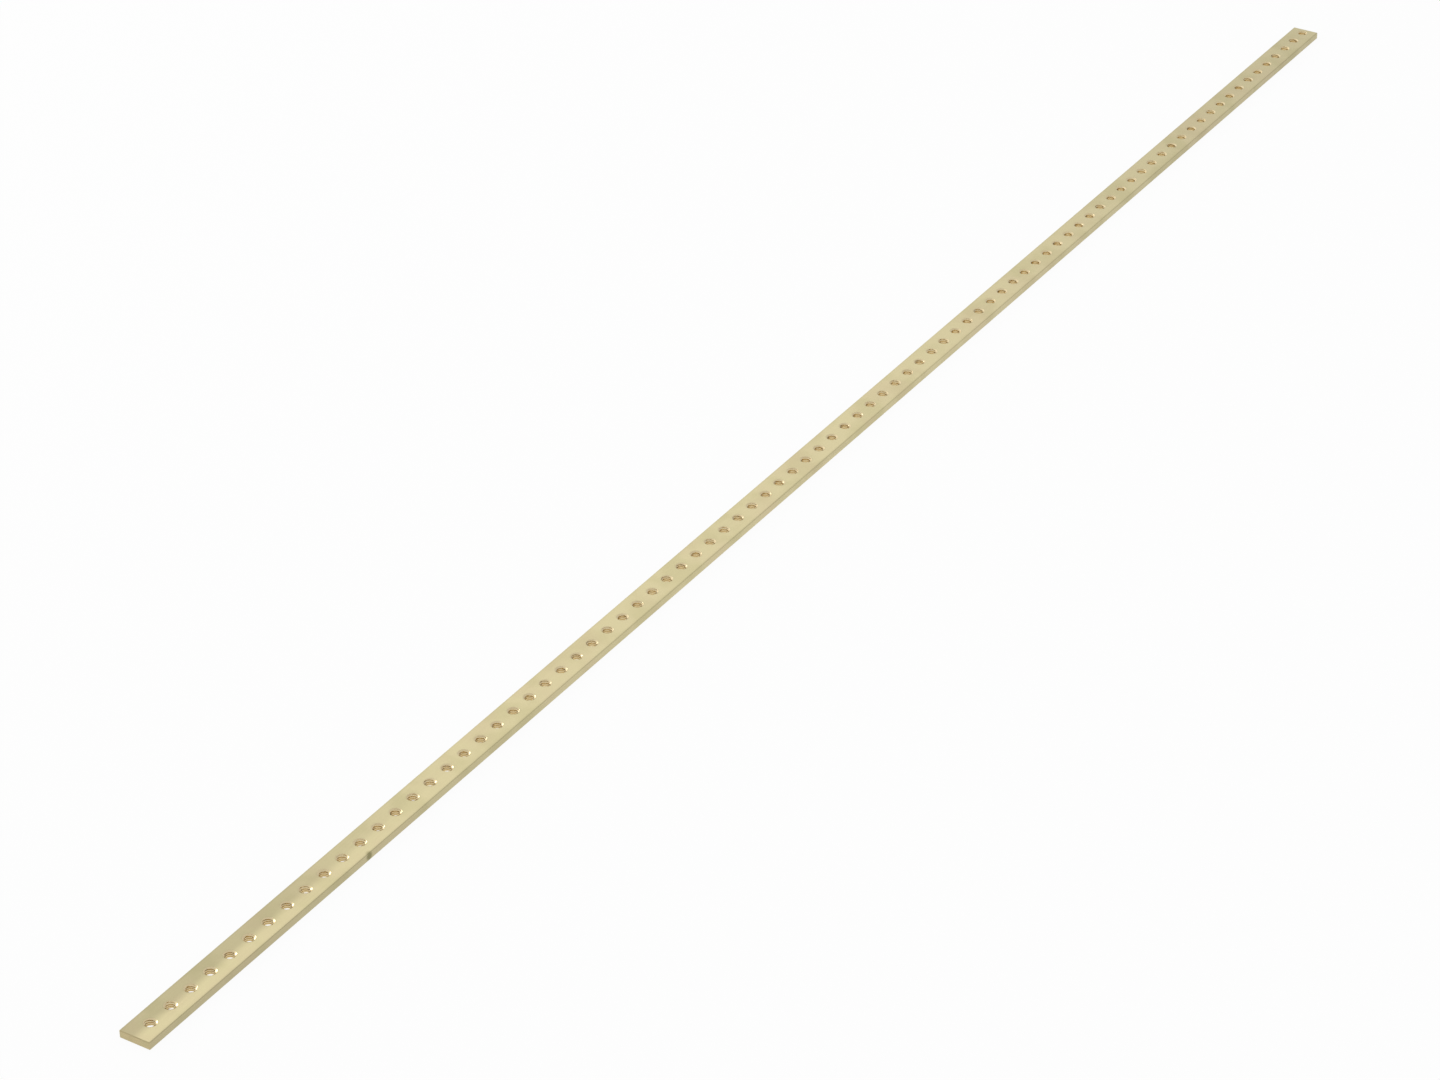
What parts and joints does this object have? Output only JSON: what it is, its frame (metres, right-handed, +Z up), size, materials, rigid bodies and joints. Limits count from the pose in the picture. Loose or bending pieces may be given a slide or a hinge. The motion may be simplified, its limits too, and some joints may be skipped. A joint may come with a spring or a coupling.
{
  "type": "rack grounding busbar",
  "caption": "Long flat brass earthing bar with an evenly spaced row of tapped screw holes along its middle, for joining the earth wires of rack equipment.",
  "frame": {"origin": "middle of the underside, the broad face on which the bar lies", "axes": "+X along the bar, from the end with the longer margin to its first hole towards the end with the shorter one; +Y across the bar; +Z up, out of the upper face"},
  "size_m": [0.872, 0.012, 0.003],
  "materials": {
    "brass": "bare drawn brass, satin, with light patchy tarnish"
  },
  "bodies": {
    "root": {"busbar": "brass"}
  },
  "joints": []
}
